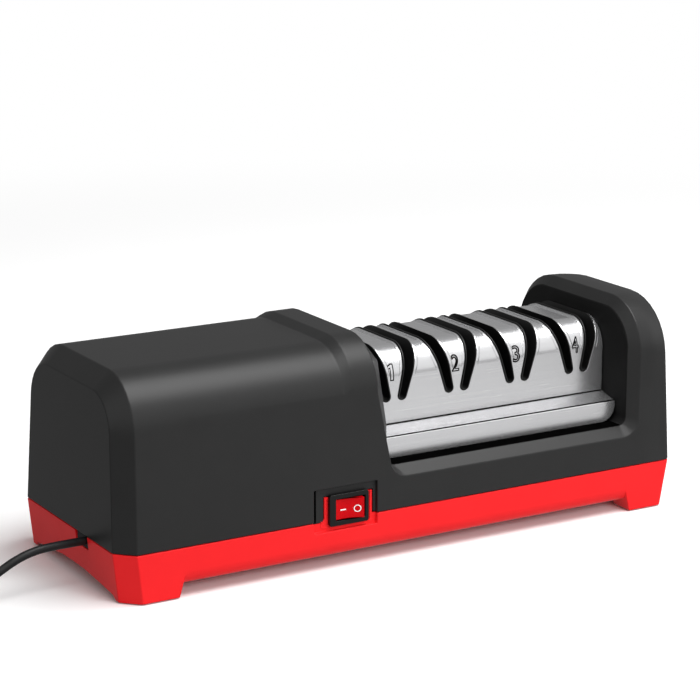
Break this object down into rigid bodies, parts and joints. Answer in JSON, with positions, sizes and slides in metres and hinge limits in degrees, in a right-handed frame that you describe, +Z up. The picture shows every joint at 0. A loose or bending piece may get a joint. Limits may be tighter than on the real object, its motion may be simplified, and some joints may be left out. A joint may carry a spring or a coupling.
{
  "type": "electric knife sharpener",
  "caption": "Electric knife sharpener: a motor turns grinding discs under a steel cover whose slanted slots guide the blade, on a footed base with a rocker switch and mains cord.",
  "frame": {"origin": "on the surface the appliance stands on, under the middle of its body", "axes": "+Z up; +X along the body from the motor end, where the cord leaves, to the sharpening end; the front with the switch looks towards -Y"},
  "size_m": [0.4664, 0.1405, 0.1048],
  "materials": {
    "red_plastic": "smooth, semi-gloss",
    "black_plastic": "smooth, satin to semi-gloss",
    "cover_steel": "polished stainless sheet",
    "guide_plastic": "smooth",
    "switch_plastic": "smooth",
    "rocker_plastic": "glossy",
    "zinc_steel": "zinc plated",
    "rotor_copper": "wound laminations and copper",
    "ferrite": "matte ferrite",
    "brass": "plain",
    "abrasive": "matte abrasive coat",
    "polishing": "matte polishing compound",
    "board": "paper laminate",
    "pad_rubber": "matte",
    "cord_rubber": "smooth, faintly glossy",
    "wire_brown": "smooth",
    "wire_blue": "smooth",
    "pin_nickel": "nickel plated"
  },
  "bodies": {
    "case": {"base": "red_plastic", "housing": "black_plastic", "guide_cover": "cover_steel", "knife_guide_1": "guide_plastic", "knife_guide_2": "guide_plastic", "knife_guide_3": "guide_plastic", "knife_guide_4": "guide_plastic", "motor_can": "zinc_steel", "motor_bell": "guide_plastic", "motor_magnet": "ferrite", "motor_strap": "zinc_steel", "strap_screw_1": "zinc_steel", "strap_screw_2": "zinc_steel", "bearing_1": "zinc_steel", "bearing_2": "zinc_steel", "bearing_cap_1": "guide_plastic", "bearing_cap_2": "guide_plastic", "foot_pad_1": "pad_rubber", "foot_pad_2": "pad_rubber", "foot_pad_3": "pad_rubber", "foot_pad_4": "pad_rubber", "case_screw_1": "zinc_steel", "case_screw_2": "zinc_steel", "case_screw_3": "zinc_steel", "case_screw_4": "zinc_steel", "switch_body": "switch_plastic", "switch_terminal_1": "brass", "switch_terminal_2": "brass", "circuit_board": "board", "cord_bush": "cord_rubber", "wire_live": "wire_brown", "wire_switched": "wire_brown", "wire_neutral": "wire_blue", "cord_lead": "cord_rubber", "cord_tail": "cord_rubber", "cord_coil": "cord_rubber", "cord_tie": "cord_rubber", "plug": "cord_rubber", "plug_pin_1": "pin_nickel", "plug_pin_2": "pin_nickel"},
    "spindle": {"spindle": "zinc_steel", "spindle_clip": "zinc_steel", "grinding_disc_1": "abrasive", "grinding_disc_2": "abrasive", "grinding_disc_3": "abrasive", "grinding_disc_4": "abrasive", "grinding_disc_5": "abrasive", "grinding_disc_6": "abrasive", "grinding_disc_7": "polishing", "grinding_disc_8": "polishing", "disc_spring_1": "zinc_steel", "disc_spring_2": "zinc_steel", "disc_spring_3": "zinc_steel", "disc_spring_4": "zinc_steel", "motor_shaft": "zinc_steel", "motor_rotor": "rotor_copper", "commutator": "rotor_copper", "coupling": "brass"},
    "rocker": {"rocker": "rocker_plastic"}
  },
  "joints": [
    {"name": "spindle_spin", "type": "hinge", "parent": "case", "child": "spindle", "pos_m": [0, -0.0032, 0.052], "axis": [1, 0, 0], "continuous": true},
    {"name": "rocker_tilt", "type": "hinge", "parent": "case", "child": "rocker", "pos_m": [-0.0337, -0.0521, 0.0279], "axis": [0, 0, 1], "range_deg": [0, 20]}
  ]
}
